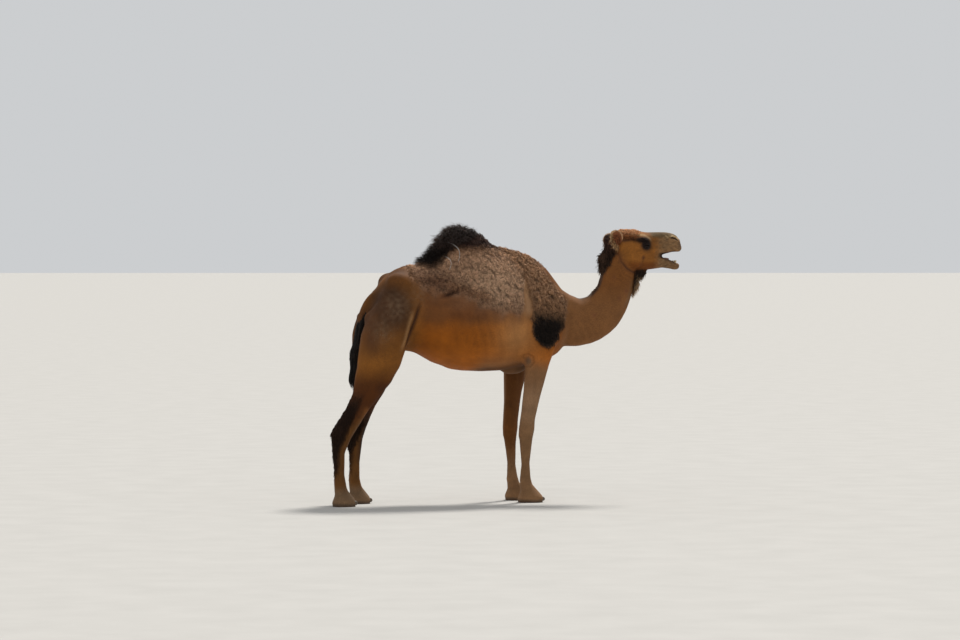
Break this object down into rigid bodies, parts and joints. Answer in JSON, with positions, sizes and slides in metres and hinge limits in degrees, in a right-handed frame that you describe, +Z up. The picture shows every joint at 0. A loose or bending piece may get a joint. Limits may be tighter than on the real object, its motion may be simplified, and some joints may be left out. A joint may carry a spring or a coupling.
{
  "type": "standing dromedary camel",
  "caption": "Life-size still model of an adult dromedary camel, standing with its neck curved up, its head held level and its mouth a little open.",
  "frame": {"origin": "on the ground, under the middle of the animal's box", "axes": "+X towards the nose, +Y towards the camel's own left, +Z up"},
  "size_m": [2.7028, 0.5852, 2.0013],
  "materials": {
    "short_coat": "short, flat, matte hair, golden brown with darker and paler fields",
    "wool": "curled matte wool, grey-brown, nearly black on the hump's crest",
    "dark_hair": "long matte hair, nearly black",
    "eye": "wet, glossy, dark brown",
    "callus": "bare, dry, dark grey-brown pad",
    "nail": "worn horn, dark grey-brown",
    "tongue": "moist, pale pink-brown",
    "tooth": "worn ivory"
  },
  "bodies": {
    "root": {"trunk": "short_coat", "hump": "wool", "chest_pad": "callus", "neck_lower": "short_coat", "neck_upper": "short_coat", "head": "short_coat", "lower_jaw": "short_coat", "lower_teeth": "tooth", "tongue": "tongue", "ear_right": "short_coat", "ear_left": "short_coat", "eye_right": "eye", "eye_left": "eye", "tail_dock": "short_coat", "tail_brush": "dark_hair", "fore_right_arm": "short_coat", "fore_right_forearm": "short_coat", "fore_right_cannon": "short_coat", "fore_right_foot": "short_coat", "fore_right_foot_nail_outer": "nail", "fore_right_foot_nail_inner": "nail", "fore_left_arm": "short_coat", "fore_left_forearm": "short_coat", "fore_left_cannon": "short_coat", "fore_left_foot": "short_coat", "fore_left_foot_nail_outer": "nail", "fore_left_foot_nail_inner": "nail", "hind_right_thigh": "short_coat", "hind_right_gaskin": "short_coat", "hind_right_cannon": "short_coat", "hind_right_foot": "short_coat", "hind_right_foot_nail_outer": "nail", "hind_right_foot_nail_inner": "nail", "hind_left_thigh": "short_coat", "hind_left_gaskin": "short_coat", "hind_left_cannon": "short_coat", "hind_left_foot": "short_coat", "hind_left_foot_nail_outer": "nail", "hind_left_foot_nail_inner": "nail"}
  },
  "joints": []
}
